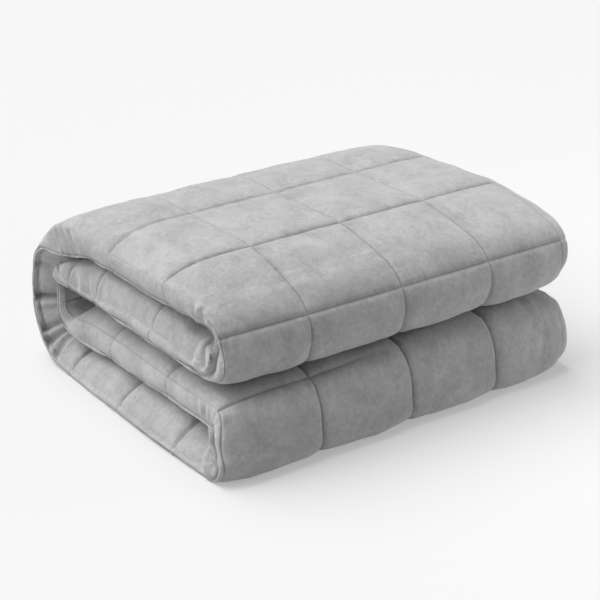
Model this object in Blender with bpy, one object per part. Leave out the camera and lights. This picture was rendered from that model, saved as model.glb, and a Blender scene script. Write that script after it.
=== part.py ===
"""Weighted blanket, quilted in squares and folded into a flat stack four layers high.

The blanket is one strip of filled cloth, four squares wide. Both of its ends are folded to
the middle, and the whole is then folded in half. Seen from the left end, the strip runs from
its first end along the second layer, round the upper front fold, back over the top, down
round the outer back, forward along the bottom, round the lower front fold, back along the
third layer, and up the inner back wall to its second end.

Sizes are in millimetres. +X runs along the folds, +Y to the back and +Z up. In the tables
X = 0 is the second quilting seam from the left, Y = 0 the first seam behind the front edge
of the top and Z = 0 the surface that the blanket lies on.
"""
import bpy
import numpy as np

MM = 0.001
SQUARE = 127.0            # quilting pitch
SQUARES_ACROSS = 4
BORDER = 27.0             # cloth beyond the outermost seams
HEM_THICKNESS = 4.0
OUTER_VALLEY = 5.0        # depth of the seams in the outer face
INNER_VALLEY = 10.0       # depth of the seams in the inner face
CREASE_WIDTH = 9.0        # how far a seam's sharp crease reaches into a square
CREASE_SHARE = 0.6        # part of a square's rise that its sharp creases make
BORDER_BULGE = 3.0        # roundness of the border strip
BORDER_FALL = 1.2         # power of the fall of the faces to the hem along the long edges
END_CLOSING = 1.5         # the same at the strip's two ends
END_DROP_OUTER = 4        # power of the drop of the outer face towards a long edge
END_DROP_INNER = 6        # the same for the inner face
CENTRE = (121.74, 72.02)  # X and Y of the middle of the folded blanket

# Steps of the grid inside one square, in squares. A step at 0 lies on a seam.
SQUARE_STEPS = (0.0, 0.08, 0.3, 0.7, 0.92)
BORDER_STEPS = (0.5, 1.0)
SMALLEST_STEP = 0.03
LARGEST_TURN = 13.0       # degrees that a fold may turn from one grid line to the next
FOLD_SAMPLES = 4000       # places where the turn of the folds is read

# Seams along the strip, in squares. The first and last rows of squares are cut narrower.
FIRST_SEAM = -0.42
LAST_SEAM = 12.8
BORDER_SQUARES = BORDER / SQUARE

# The middle of the cloth's thickness at X = 0, from the first end of the strip to the last.
# along: place on the strip in squares; y, z: its place; outer, inner: the cloth's reach to
# its outer and inner face in the middle of a square; slant: how far the fold comes forward
# for each millimetre of X.
PATH_COLUMNS = ("along", "y", "z", "outer", "inner", "slant")
PATH = (
    (-0.62, 237.0, 123.0, 16.0, 16.0, 0.0),     # first end, above the inner back wall
    (-0.42, 214.0, 128.0, 22.0, 22.0, 0.0),
    (0.0, 162.0, 128.5, 25.5, 25.0, 0.0),       # second layer
    (0.5, 98.5, 128.0, 26.0, 25.5, 0.0),
    (1.0, 35.0, 128.0, 26.0, 25.5, 0.01),
    (1.4, -20.0, 127.5, 26.0, 23.0, 0.03),
    (1.61, -50.0, 127.0, 26.0, 19.5, 0.045),
    (1.73, -68.0, 126.5, 26.0, 17.0, 0.055),
    (1.83, -80.0, 127.5, 26.0, 12.5, 0.06),     # upper front fold
    (1.89, -89.0, 133.0, 26.0, 10.0, 0.06),
    (1.94, -93.0, 142.0, 26.0, 9.5, 0.06),
    (1.99, -90.5, 152.5, 26.0, 10.0, 0.06),
    (2.07, -84.0, 158.5, 27.0, 12.5, 0.06),
    (2.22, -72.0, 164.5, 28.0, 15.0, 0.055),
    (2.45, -51.0, 171.5, 29.5, 19.0, 0.045),
    (2.71, -28.0, 177.5, 30.0, 22.0, 0.03),
    (3.0, 0.0, 182.0, 30.0, 25.0, 0.01),        # top layer
    (3.5, 63.5, 183.0, 30.0, 26.5, 0.0),
    (4.0, 127.0, 183.0, 30.0, 26.5, 0.0),
    (4.55, 196.0, 178.5, 30.0, 24.0, 0.0),      # outer back
    (4.95, 235.0, 165.0, 29.0, 23.0, 0.0),
    (5.35, 266.0, 140.0, 28.0, 24.0, 0.0),
    (5.75, 279.0, 103.0, 28.0, 24.0, 0.0),
    (6.15, 275.5, 62.0, 27.0, 24.0, 0.0),
    (6.55, 248.0, 29.0, 25.0, 24.0, 0.0),
    (6.95, 199.0, 22.5, 25.0, 24.0, 0.0),
    (8.0, 72.0, 22.5, 25.0, 24.0, 0.0),         # bottom layer
    (9.0, -50.0, 22.5, 25.0, 23.5, 0.03),
    (9.24, -82.0, 22.0, 25.0, 22.0, 0.045),
    (9.40, -104.5, 21.5, 26.0, 14.5, 0.05),     # lower front fold
    (9.51, -116.0, 26.0, 27.0, 9.5, 0.05),
    (9.62, -119.5, 37.0, 26.0, 10.0, 0.05),
    (9.74, -118.5, 51.0, 25.0, 12.0, 0.045),
    (9.87, -113.0, 64.5, 25.0, 15.5, 0.04),
    (10.0, -103.5, 71.5, 25.0, 19.0, 0.035),
    (10.12, -90.0, 73.5, 25.0, 21.0, 0.03),
    (10.5, -50.0, 73.0, 25.0, 22.5, 0.02),
    (11.0, 3.0, 72.5, 25.0, 22.5, 0.0),         # third layer
    (12.0, 130.0, 72.5, 25.0, 22.5, 0.0),
    (12.37, 178.0, 72.5, 22.0, 22.0, 0.0),
    (12.57, 203.0, 74.5, 16.0, 19.0, 0.0),      # turned up at the back
    (12.69, 217.0, 81.5, 13.0, 17.0, 0.0),
    (12.8, 224.0, 92.0, 13.0, 15.0, 0.0),
    (13.0, 227.0, 108.5, 11.0, 11.0, 0.0),      # last end, below the first one
)

# How the strip's two long edges lie. x_outer, n_outer: the edge seam in the outer face, as X
# and as height over the middle of the cloth; x_inner, n_inner: the same in the inner face;
# x_hem, n_hem: the hem.
EDGE_COLUMNS = ("along", "x_outer", "n_outer", "x_inner", "n_inner", "x_hem", "n_hem")
LEFT_EDGE = (
    (-0.62, -116.0, 8.0, -122.0, -8.0, -130.0, 1.0),     # first end
    (-0.42, -114.0, 15.0, -119.0, -8.0, -126.0, 5.0),
    (0.0, -112.0, 19.0, -115.0, -3.0, -120.0, 10.0),     # second layer
    (1.2, -112.0, 19.0, -115.0, -3.0, -119.0, 12.0),
    (1.58, -112.0, 20.0, -112.0, -4.0, -118.0, 15.0),
    (1.79, -112.0, 20.5, -107.0, -4.0, -116.0, 18.0),
    (1.92, -112.0, 19.0, -102.0, -4.0, -114.0, 13.0),    # upper front fold
    (2.0, -112.0, 17.0, -101.0, -5.0, -112.0, 7.0),
    (2.1, -112.0, 15.0, -101.0, -6.0, -110.0, 1.0),
    (2.25, -113.0, 13.0, -102.0, -9.0, -109.0, -3.0),
    (2.49, -114.0, 11.0, -102.0, -15.0, -109.0, -8.0),
    (3.0, -115.0, 9.0, -103.0, -21.0, -109.0, -17.0),    # top layer
    (4.0, -114.0, 2.0, -104.0, -23.0, -110.0, -18.0),
    (4.55, -116.0, 7.0, -106.0, -23.0, -113.0, -19.0),
    (4.95, -121.0, 23.0, -110.0, -20.0, -118.0, -14.0),  # outer back
    (5.15, -122.0, 23.0, -112.0, -14.0, -123.0, 0.0),
    (5.35, -122.0, 22.0, -113.0, -11.0, -129.0, 15.0),
    (5.75, -122.0, 21.0, -114.0, -10.0, -135.0, 20.0),
    (6.15, -123.0, 20.0, -117.0, -9.0, -138.0, 20.0),
    (6.55, -125.0, 21.0, -124.0, -8.0, -142.0, 19.0),
    (6.95, -128.0, 21.0, -136.0, -3.0, -144.0, 17.0),    # bottom layer
    (8.0, -128.0, 21.0, -139.0, -1.0, -143.0, 16.0),
    (9.0, -128.0, 22.0, -139.0, -1.0, -142.0, 17.0),
    (9.3, -127.0, 22.0, -130.0, -2.0, -138.0, 19.0),
    (9.5, -124.0, 20.0, -116.0, -3.0, -130.0, 15.0),     # lower front fold
    (9.75, -121.0, 18.0, -109.0, -4.0, -125.0, 9.0),
    (9.9, -119.0, 15.0, -107.0, -7.0, -122.0, 2.0),
    (10.05, -118.0, 12.0, -106.0, -12.0, -119.0, -5.0),
    (10.4, -116.0, 7.0, -107.0, -20.0, -116.0, -17.0),
    (11.0, -115.0, 5.0, -107.0, -23.0, -114.0, -21.5),   # third layer
    (12.0, -113.0, 3.0, -107.0, -23.0, -114.0, -21.0),
    (12.4, -116.0, 6.0, -112.0, -19.0, -122.0, -15.0),
    (12.7, -117.0, 8.0, -116.0, -12.0, -129.0, -4.0),    # turned up at the back
    (13.0, -116.0, 7.0, -117.0, -7.0, -130.0, 0.0),
)
RIGHT_EDGE = (
    (-0.62, 362.0, 8.0, 364.0, -8.0, 376.0, 0.0),
    (0.0, 365.0, 18.0, 368.0, -14.0, 382.0, 1.0),
    (1.4, 365.0, 18.0, 366.0, -13.0, 382.0, 1.0),
    (1.76, 364.0, 20.0, 358.0, -9.0, 382.0, 4.0),
    (1.95, 366.0, 21.0, 354.0, -4.0, 386.0, 9.0),
    (2.16, 368.0, 22.0, 355.0, -6.0, 389.0, 10.0),
    (2.52, 368.0, 24.0, 361.0, -15.0, 389.0, 12.0),
    (3.0, 364.0, 25.0, 364.0, -19.0, 386.0, 12.0),
    (4.0, 363.0, 25.0, 364.0, -19.0, 385.0, 12.0),
    (5.0, 364.0, 24.0, 362.0, -13.0, 385.0, 12.0),
    (5.75, 364.0, 22.0, 360.0, -12.0, 384.0, 12.0),
    (6.5, 366.0, 20.0, 362.0, -12.0, 384.0, 12.0),
    (7.2, 366.0, 20.0, 368.0, -12.0, 385.0, 12.0),
    (9.0, 366.0, 20.0, 368.0, -12.0, 385.0, 11.0),
    (9.35, 363.0, 20.0, 360.0, -9.0, 380.0, 10.0),
    (9.68, 360.0, 20.0, 353.0, -4.0, 376.0, 9.0),
    (10.0, 361.0, 19.0, 355.0, -8.0, 377.0, 5.0),
    (11.0, 365.0, 17.0, 365.0, -15.0, 384.0, 0.0),
    (12.4, 365.0, 15.0, 365.0, -15.0, 383.0, -1.0),
    (13.0, 362.0, 7.0, 362.0, -7.0, 376.0, 0.0),
)


def column(table, columns, name, along):
    """A column of a table at places along the strip, smoothly joined from row to row."""
    rows = np.array(table)
    places = rows[:, 0]
    values = rows[:, columns.index(name)]
    slopes = np.gradient(values, places)
    at = np.clip(np.searchsorted(places, along, side="right") - 1, 0, len(places) - 2)
    step = places[at + 1] - places[at]
    t = (along - places[at]) / step
    return (values[at] * (2 * t**3 - 3 * t**2 + 1)
            + slopes[at] * step * (t**3 - 2 * t**2 + t)
            + values[at + 1] * (3 * t**2 - 2 * t**3)
            + slopes[at + 1] * step * (t**3 - t**2))


def grid_lines(first_seam, last_seam):
    """Places of the grid lines in squares, from hem to hem over all the seams."""
    inside = [seam + step
              for seam in range(int(np.floor(first_seam)), int(np.ceil(last_seam)))
              for step in SQUARE_STEPS
              if first_seam + SMALLEST_STEP < seam + step < last_seam - SMALLEST_STEP]
    before = [first_seam - BORDER_SQUARES * step for step in reversed(BORDER_STEPS)]
    after = [last_seam + BORDER_SQUARES * step for step in BORDER_STEPS]
    return np.array(before + [first_seam] + inside + [last_seam] + after)


def seam_distance(places, first_seam, last_seam):
    """Distance of each place from its nearest seam, in squares."""
    whole = np.clip(np.round(places), np.ceil(first_seam), np.floor(last_seam))
    return np.minimum(np.abs(places - whole),
                      np.minimum(np.abs(places - first_seam), np.abs(places - last_seam)))


def crown(distance):
    """Rise of a filled square, 0 on a seam and 1 in the middle, with a sharp crease."""
    crease = 1.0 - np.exp(-distance * SQUARE / CREASE_WIDTH)
    dome = 1.0 - (1.0 - 2.0 * np.minimum(distance, 0.5)) ** 2
    return CREASE_SHARE * crease + (1.0 - CREASE_SHARE) * dome


def middle(along):
    """The middle of the cloth along the strip, as y, z and the outward normal."""
    y = column(PATH, PATH_COLUMNS, "y", along)
    z = column(PATH, PATH_COLUMNS, "z", along)
    nudge = 0.01
    before = along - nudge
    after = along + nudge
    run_y = column(PATH, PATH_COLUMNS, "y", after) - column(PATH, PATH_COLUMNS, "y", before)
    run_z = column(PATH, PATH_COLUMNS, "z", after) - column(PATH, PATH_COLUMNS, "z", before)
    length = np.hypot(run_y, run_z)
    return y, z, -run_z / length, run_y / length


def split_folds(along):
    """The grid lines along the strip, with more of them where the cloth turns sharply."""
    fine = np.linspace(along[0], along[-1], FOLD_SAMPLES)
    normal_y, normal_z = middle(fine)[2:]
    turned = np.degrees(np.cumsum(np.abs(np.diff(np.unwrap(np.arctan2(normal_z, normal_y))))))
    turned = np.interp(along, fine[1:], turned)
    lines = [along[:1]]
    for start, end, angle in zip(along[:-1], along[1:], np.diff(turned)):
        parts = max(1, int(np.ceil(angle / LARGEST_TURN)))
        lines.append(np.linspace(start, end, parts + 1)[1:])
    return np.concatenate(lines)


def edge_blend(along, edge, far, face, start_x, reach, sign, power):
    """X and height of one face over the outermost squares and the border of one edge.

    far is 0 at the first inner seam, 1 at the edge seam and more over the border.
    """
    seam_x = column(edge, EDGE_COLUMNS, "x_" + face, along)
    seam_n = column(edge, EDGE_COLUMNS, "n_" + face, along)
    hem_x = column(edge, EDGE_COLUMNS, "x_hem", along)
    hem_n = column(edge, EDGE_COLUMNS, "n_hem", along) + sign * HEM_THICKNESS / 2
    side = np.sign(hem_x)
    run = np.clip(far, 0.0, 1.0)
    inner_x = start_x + side * SQUARE * run + (seam_x - start_x - side * SQUARE) * run**2
    inner_n = reach + (seam_n - reach) * run**power
    t = np.clip((far - 1.0) / BORDER_SQUARES, 0.0, 1.0)
    border_x = seam_x + (hem_x - seam_x) * t + side * BORDER_BULGE * np.sin(np.pi * t)
    border_n = seam_n + (hem_n - seam_n) * t**BORDER_FALL
    return np.where(t > 0, border_x, inner_x), np.where(t > 0, border_n, inner_n)


def face_points(across, along, face):
    """Points of the outer or inner face over a grid of places across and along the strip."""
    u, v = np.meshgrid(across, along)
    sign = 1.0 if face == "outer" else -1.0
    valley = OUTER_VALLEY if face == "outer" else INNER_VALLEY
    power = END_DROP_OUTER if face == "outer" else END_DROP_INNER
    rise = valley * crown(seam_distance(u, 0, SQUARES_ACROSS))
    rise = rise * crown(seam_distance(v, FIRST_SEAM, LAST_SEAM))
    on_border = (u < 0) | (u > SQUARES_ACROSS) | (v < FIRST_SEAM) | (v > LAST_SEAM)
    rise = np.where(on_border, 0.0, rise)

    reach = sign * (column(PATH, PATH_COLUMNS, face, v) - valley)
    x = (u - 1.0) * SQUARE
    n = reach
    last = SQUARES_ACROSS - 1.0
    left_x, left_n = edge_blend(v, LEFT_EDGE, 1.0 - u, face, 0.0, reach, sign, power)
    right_x, right_n = edge_blend(v, RIGHT_EDGE, u - last, face,
                                  (last - 1.0) * SQUARE, reach, sign, power)
    x = np.where(u < 1.0, left_x, np.where(u > last, right_x, x))
    n = np.where(u < 1.0, left_n, np.where(u > last, right_n, n))
    n = n + sign * rise

    # The two faces close on each other over the borders at the strip's ends.
    past = np.maximum(FIRST_SEAM - v, v - LAST_SEAM) / BORDER_SQUARES
    closing = np.clip(past, 0.0, 1.0) ** END_CLOSING
    n = n * (1.0 - closing) + sign * HEM_THICKNESS / 2 * closing

    y, z, normal_y, normal_z = middle(v)
    y = y - column(PATH, PATH_COLUMNS, "slant", v) * x
    y = y + normal_y * n
    z = np.maximum(z + normal_z * n, 0.0)
    return np.stack([x - CENTRE[0], y - CENTRE[1], z], axis=-1) * MM


def blanket_mesh():
    """Both faces of the strip, joined round the hem into one closed body."""
    across = grid_lines(0, SQUARES_ACROSS)
    along = split_folds(grid_lines(FIRST_SEAM, LAST_SEAM))
    rows, columns = len(along), len(across)
    outer = face_points(across, along, "outer").reshape(-1, 3)
    inner = face_points(across, along, "inner").reshape(-1, 3)
    count = rows * columns
    index = np.arange(count).reshape(rows, columns)
    quads = np.stack([index[:-1, :-1], index[:-1, 1:], index[1:, 1:], index[1:, :-1]], axis=-1)
    outer_faces = quads.reshape(-1, 4)
    inner_faces = outer_faces[:, ::-1] + count
    rim = np.concatenate([index[0, :], index[1:, -1], index[-1, -2::-1], index[-2:0:-1, 0]])
    following = np.roll(rim, -1)
    rim_faces = np.stack([following, rim, rim + count, following + count], axis=-1)
    faces = np.concatenate([outer_faces, inner_faces, rim_faces])
    mesh = bpy.data.meshes.new("blanket")
    mesh.from_pydata(np.concatenate([outer, inner]).tolist(), [], faces.tolist())
    mesh.shade_smooth()
    return mesh


def suede_material():
    """Light grey brushed fabric."""
    material = bpy.data.materials.new("grey_suede")
    material.use_nodes = True
    shader = material.node_tree.nodes["Principled BSDF"]
    shader.inputs["Base Color"].default_value = (0.42, 0.42, 0.43, 1.0)
    shader.inputs["Roughness"].default_value = 0.9
    shader.inputs["Metallic"].default_value = 0.0
    return material


def main():
    for thing in list(bpy.data.objects):
        bpy.data.objects.remove(thing)
    blanket = bpy.data.objects.new("blanket", blanket_mesh())
    blanket.data.materials.append(suede_material())
    bpy.context.scene.collection.objects.link(blanket)


main()
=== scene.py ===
from math import cos, pi, radians, sin

import bpy
import numpy as np
from mathutils import Matrix, Vector


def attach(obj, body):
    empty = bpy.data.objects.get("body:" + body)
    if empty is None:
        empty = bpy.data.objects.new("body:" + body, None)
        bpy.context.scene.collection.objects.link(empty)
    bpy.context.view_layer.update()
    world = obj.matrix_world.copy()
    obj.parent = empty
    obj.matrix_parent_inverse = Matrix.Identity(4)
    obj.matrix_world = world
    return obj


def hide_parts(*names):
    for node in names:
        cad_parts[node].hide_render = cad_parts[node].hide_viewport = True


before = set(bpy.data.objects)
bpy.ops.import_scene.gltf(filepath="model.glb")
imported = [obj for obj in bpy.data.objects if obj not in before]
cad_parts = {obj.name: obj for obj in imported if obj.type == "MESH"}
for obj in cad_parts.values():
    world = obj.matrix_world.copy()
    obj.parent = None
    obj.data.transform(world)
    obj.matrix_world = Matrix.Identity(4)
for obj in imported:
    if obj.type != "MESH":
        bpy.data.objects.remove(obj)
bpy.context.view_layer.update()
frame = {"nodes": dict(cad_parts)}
print("frame loaded:", ", ".join(frame["nodes"]))

# The blanket is one strip of filled cloth. u counts quilting squares across it from the left
# edge seam, v counts them along it from the first whole square of the second layer. Lengths are
# in mm, and the tables measure X from the second seam of the width, Y from the first seam behind
# the front edge of the top, and Z from the surface that the blanket lies on.
blanket = {
    "square": 127.0,           # quilting pitch
    "squaresAcross": 4,
    "firstSeam": -0.42,        # seams next to the strip's two ends, in squares
    "lastSeam": 12.8,
    "border": 27.0,            # cloth beyond the outermost seams
    "hemThickness": 3.0,
    "hemRounding": 3,          # lines of points round the hem
    "creaseWidth": 5.5,        # how far a seam's sharp crease reaches into a square
    "creaseShare": 0.55,       # share of the crown's rise that the crease takes
    "borderBulge": 3.0,
    "borderFall": 1.2,         # power by which the border's height runs from seam to hem
    # how late the faces drop to the edge seam: places on the strip and powers
    "outerDrop": ((0.0, 4.0), (13.0, 4.0)),
    "innerDrop": ((0.0, 12.0), (1.6, 12.0), (2.1, 6.0), (6.5, 6.0), (7.0, 5.0), (9.3, 5.0),
                  (9.6, 6.0)),
    "stitchWidth": 1.3,        # the pulled-in line of the stitches
    "stitchDepth": 1.8,
    "edgeStitchShare": 0.5,    # how much of it the edge seams show
    "borderSeamDepth": 0.9,    # cross seams where they run out over the border
    # place of the seam on the lower fold that is stuffed out and its reach along the strip, and
    # where across the blanket that starts and how far it takes to be whole, in squares
    "smoothedSeam": (10.0, 0.3, 1.2, 0.6),
    "gatherWidth": 11.0,       # small gathers beside the seams
    "gatherDepth": 0.45,
    "gatherLength": 14.0,
    "gatherStart": 2.5,        # distance from the seam at which they begin
    "gatherShift": (31.0, 17.0),   # moves them from square to square, so that no two are alike
    "waves": ((70.0, 0.7), (34.0, 0.35)),    # lengths and heights of the filling's soft waves
    "gridStep": 12.0,          # spacing of the grid lines away from the seams
    "seamStep": 1.5,           # spacing beside a seam
    "seamReach": 3.6,
    "gridSamples": 20001,      # places at which the spacing is reckoned
    # start, end and spacing of the rows where the cloth is pleated or turns
    "busyRows": ((-0.64, 0.1, 2.5), (0.1, 1.45, 5.0), (1.45, 2.1, 1.3), (2.1, 2.4, 2.4),
                 (4.6, 5.1, 3.0), (5.5, 6.8, 2.8), (9.25, 9.45, 2.2), (9.45, 10.05, 1.8),
                 (10.05, 10.4, 2.6), (12.4, 13.02, 2.6)),
    "busyColumns": ((-0.22, 0.18, 2.3), (0.18, 0.4, 4.0), (3.32, 3.76, 6.0)),
}

# face, width in mm (below zero for a sharp crease, above it for a soft one), height in mm, and
# the line's places as u, v
creases = (
    ("inner", -4.0, -2.5, (0.10, -0.44), (0.02, -0.34), (-0.12, -0.30)),     # second layer's end
    ("inner", 3.0, 1.2, (0.08, -0.38), (0.02, -0.28), (-0.08, -0.24)),
    ("inner", -4.0, -2.2, (0.09, -0.24), (0.02, -0.14), (-0.02, -0.07), (-0.15, -0.03)),
    ("inner", 3.0, 1.2, (0.08, -0.18), (0.02, -0.09), (-0.04, -0.03)),
    ("inner", 3.0, 1.0, (0.12, 0.05), (0.03, 0.05), (-0.10, 0.06)),
    ("inner", -4.0, -1.6, (0.10, 0.86), (0.03, 0.88), (-0.10, 0.92)),
    ("inner", 4.0, 1.0, (0.12, 0.80), (0.02, 0.83), (-0.10, 0.86)),
    ("outer", -4.0, -3.6, (-0.04, 5.10), (-0.14, 5.06), (-0.20, 5.06)),      # top's back left border
    ("outer", -4.0, -4.2, (-0.03, 4.98), (-0.13, 4.94), (-0.17, 4.90), (-0.20, 4.86)),
    ("outer", 4.0, 2.2, (0.00, 4.90), (-0.12, 4.87), (-0.20, 4.78)),
    ("outer", -4.0, -4.4, (0.00, 4.75), (-0.11, 4.70), (-0.16, 4.69), (-0.20, 4.64)),
    ("outer", 4.0, 2.0, (0.00, 4.62), (-0.10, 4.60), (-0.20, 4.52)),
    ("outer", -3.5, -2.0, (-0.03, 4.08), (-0.15, 4.05)),
    ("outer", 3.0, 1.0, (-0.02, 3.95), (-0.18, 3.94)),
    ("outer", -4.0, -4.5, (0.10, 2.42), (-0.02, 2.36), (-0.12, 2.30), (-0.21, 2.28)),
    ("outer", 4.5, 3.0, (0.08, 2.30), (-0.02, 2.28), (-0.13, 2.22)),
    ("outer", -3.5, -2.4, (0.05, 2.24), (-0.07, 2.18), (-0.16, 2.15)),
    ("inner", -4.0, -4.0, (0.35, 1.50), (0.08, 1.485), (0.00, 1.49), (-0.10, 1.52)),   # upper fold
    ("inner", 5.0, 2.2, (0.25, 1.54), (0.06, 1.55), (-0.04, 1.57), (-0.12, 1.60)),
    ("inner", -3.5, -5.5, (0.22, 1.58), (0.08, 1.60), (0.01, 1.66), (-0.12, 1.68)),
    ("inner", 3.5, 1.5, (0.16, 1.62), (0.04, 1.70), (-0.08, 1.715), (-0.20, 1.72)),
    ("inner", -3.0, -3.5, (0.14, 1.77), (-0.02, 1.85), (-0.10, 1.87), (-0.20, 1.86)),
    ("inner", -2.5, -2.5, (0.05, 1.95), (-0.10, 1.95), (-0.19, 1.93)),
    ("outer", -3.0, -2.4, (-0.19, 1.93), (-0.10, 1.89), (-0.02, 1.87)),
    ("outer", 3.0, 1.6, (-0.15, 1.86), (-0.05, 1.85), (0.02, 1.83)),
    ("outer", -3.0, -1.4, (0.02, 11.99), (-0.04, 11.97), (-0.18, 11.93)),    # third layer's border
    ("outer", 3.5, 1.1, (0.02, 11.93), (-0.05, 11.91), (-0.18, 11.87)),
    ("outer", -3.0, -1.4, (0.02, 11.01), (-0.08, 10.99), (-0.18, 10.95)),
    ("outer", 3.5, 1.1, (0.02, 10.95), (-0.05, 10.93), (-0.18, 10.89)),
    ("outer", -3.5, -1.8, (0.02, 10.36), (-0.10, 10.33), (-0.20, 10.32)),
    ("outer", 3.5, 1.5, (0.00, 10.27), (-0.10, 10.25), (-0.20, 10.25)),
    ("outer", -3.5, -2.2, (0.03, 10.21), (-0.08, 10.18), (-0.20, 10.18)),
    ("outer", 3.5, 1.6, (0.00, 10.13), (-0.10, 10.11), (-0.20, 10.11)),
    ("inner", -3.5, -5.0, (0.16, 9.29), (0.02, 9.33), (-0.09, 9.375), (-0.17, 9.38)),  # lower fold
    ("inner", 3.5, 2.6, (0.12, 9.37), (0.00, 9.41), (-0.10, 9.43), (-0.18, 9.44)),
    ("inner", -3.5, -7.0, (0.14, 9.46), (-0.02, 9.49), (-0.12, 9.50), (-0.18, 9.50)),
    ("inner", 3.0, 2.0, (0.05, 9.54), (-0.08, 9.55), (-0.17, 9.54)),
    ("inner", -3.0, -6.0, (0.04, 9.62), (-0.10, 9.61), (-0.17, 9.60)),
    ("outer", -3.0, -2.4, (-0.20, 9.66), (-0.12, 9.62), (-0.04, 9.60)),
    ("outer", 3.0, 1.4, (-0.18, 9.58), (-0.08, 9.56), (0.00, 9.54)),
    ("inner", -5.0, -5.0, (0.12, 5.58), (-0.04, 5.62), (-0.13, 5.63)),       # inside of the back
    ("inner", -6.0, -9.0, (0.45, 6.01), (0.10, 6.01), (-0.05, 6.00), (-0.15, 6.00)),
    ("inner", 6.0, 3.0, (0.30, 6.10), (0.05, 6.08), (-0.14, 6.09)),
    ("inner", -5.0, -8.0, (0.35, 6.34), (0.08, 6.34), (-0.06, 6.33), (-0.14, 6.33)),
    ("inner", 4.0, 2.6, (0.25, 6.405), (0.00, 6.39), (-0.18, 6.40)),
    ("inner", -4.5, -8.0, (0.30, 6.47), (0.10, 6.46), (-0.06, 6.46), (-0.14, 6.46)),
    ("inner", 4.0, 3.6, (0.22, 6.52), (0.08, 6.51), (0.00, 6.56), (-0.14, 6.60)),
    ("inner", -4.5, -4.0, (0.25, 6.62), (0.08, 6.59), (-0.04, 6.65), (-0.13, 6.69)),
    ("inner", 4.0, 2.0, (0.25, 6.75), (0.04, 6.68), (-0.08, 6.74)),
    ("outer", -5.0, -9.0, (0.45, 12.62), (0.22, 12.60), (0.08, 12.60), (-0.08, 12.63), (-0.25, 12.67)),
    ("outer", 5.0, 1.5, (0.40, 12.50), (0.10, 12.52), (-0.12, 12.56)),
    ("outer", 8.0, -2.6, (3.52, 10.10), (3.58, 9.90), (3.36, 9.60)),         # lower right front
    ("outer", 8.0, -2.2, (3.72, 10.04), (3.72, 9.84), (3.52, 9.56)),
    ("outer", 8.0, 1.8, (3.62, 10.06), (3.65, 9.86), (3.44, 9.58)),
)

# face, place as u, v, reach across and along in squares, and the pull along X, Y and Z in mm
pulls = (
    ("both", -0.20, -0.60, 0.10, 0.14, -1.0, 0.0, -9.0),     # second layer's end corner
    ("inner", 0.04, -0.50, 0.10, 0.14, -8.0, 4.0, 4.0),
    ("inner", 0.06, 1.60, 0.11, 0.07, -1.0, 2.0, 6.0),       # lobe that shuts the upper fold
    ("inner", 0.40, 1.66, 0.16, 0.10, 0.0, 0.0, 7.0),
    ("inner", 0.24, 1.40, 0.17, 0.09, 0.0, 0.0, -9.0),       # hollow in front of it
    ("inner", 0.10, 9.38, 0.12, 0.06, -2.0, 2.0, 8.0),       # and the lower one
    ("inner", 0.40, 9.42, 0.16, 0.10, 0.0, 0.0, 8.0),
)

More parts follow.
